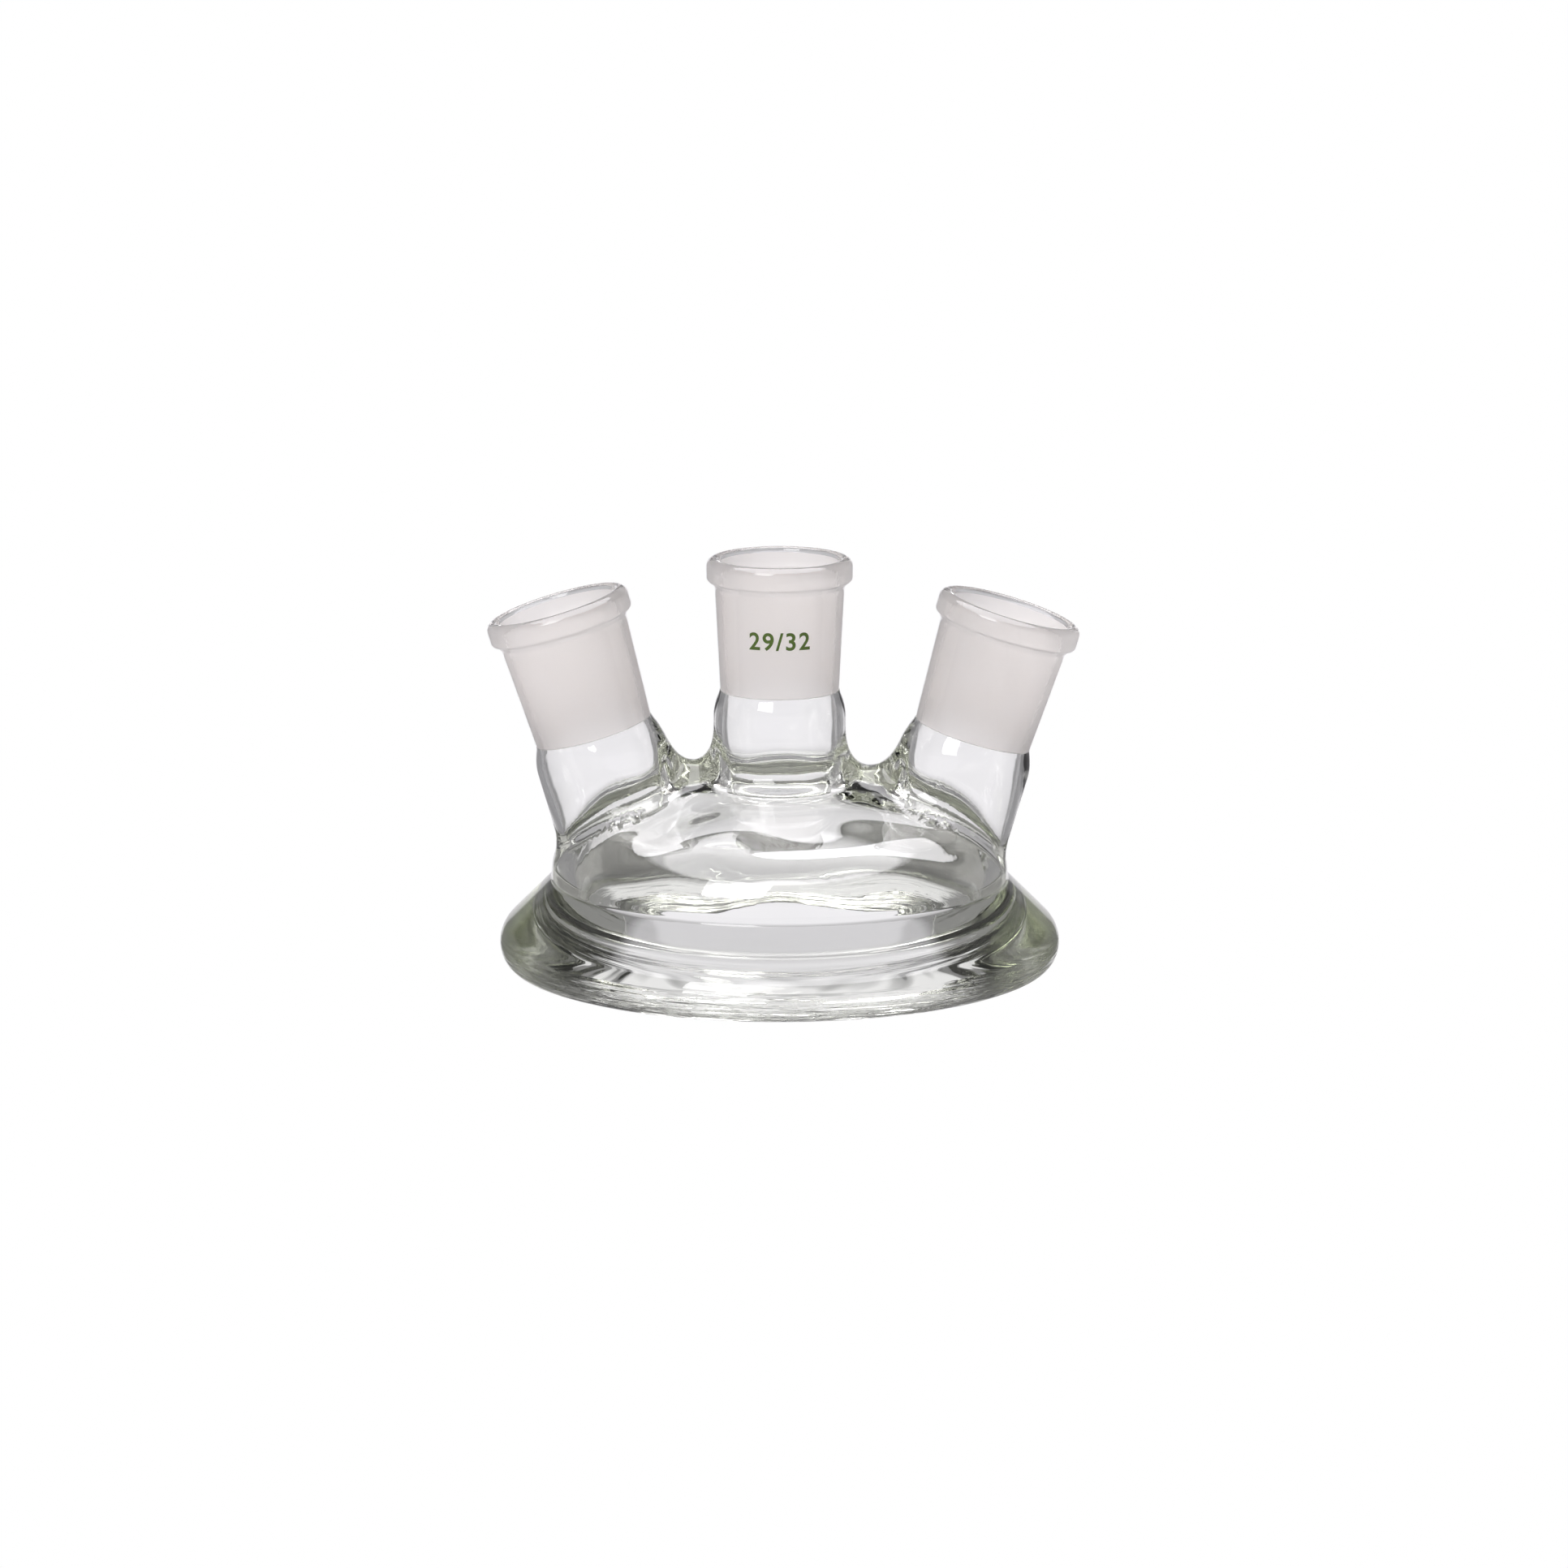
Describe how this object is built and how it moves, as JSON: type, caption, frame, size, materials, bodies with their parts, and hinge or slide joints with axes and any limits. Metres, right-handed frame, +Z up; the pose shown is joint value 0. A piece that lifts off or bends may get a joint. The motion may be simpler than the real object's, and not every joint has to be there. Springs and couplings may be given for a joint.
{
  "type": "reaction vessel lid",
  "caption": "Flat-flange glass lid with a domed crown, an upright centre neck and leaning side necks, each ending in a ground-joint socket.",
  "frame": {"origin": "centre of the ground sealing face, on the flange's axis", "axes": "+Z up along the flange's axis, away from the sealing face; +X towards the right-hand neck as the picture shows it; -Y towards the viewer, on the side with the size mark"},
  "size_m": [0.1452, 0.138, 0.1008],
  "materials": {
    "clear_glass": "clear borosilicate glass, fire polished",
    "ground_glass": "borosilicate glass with a finely ground bore, translucent",
    "size_enamel": "fired green enamel print"
  },
  "bodies": {
    "root": {"flange_ring": "clear_glass", "crown": "clear_glass", "centre_neck_tube": "clear_glass", "left_neck_tube": "clear_glass", "right_neck_tube": "clear_glass", "centre_ground_socket": "ground_glass", "left_ground_socket": "ground_glass", "right_ground_socket": "ground_glass", "joint_size_mark": "size_enamel"}
  },
  "joints": []
}
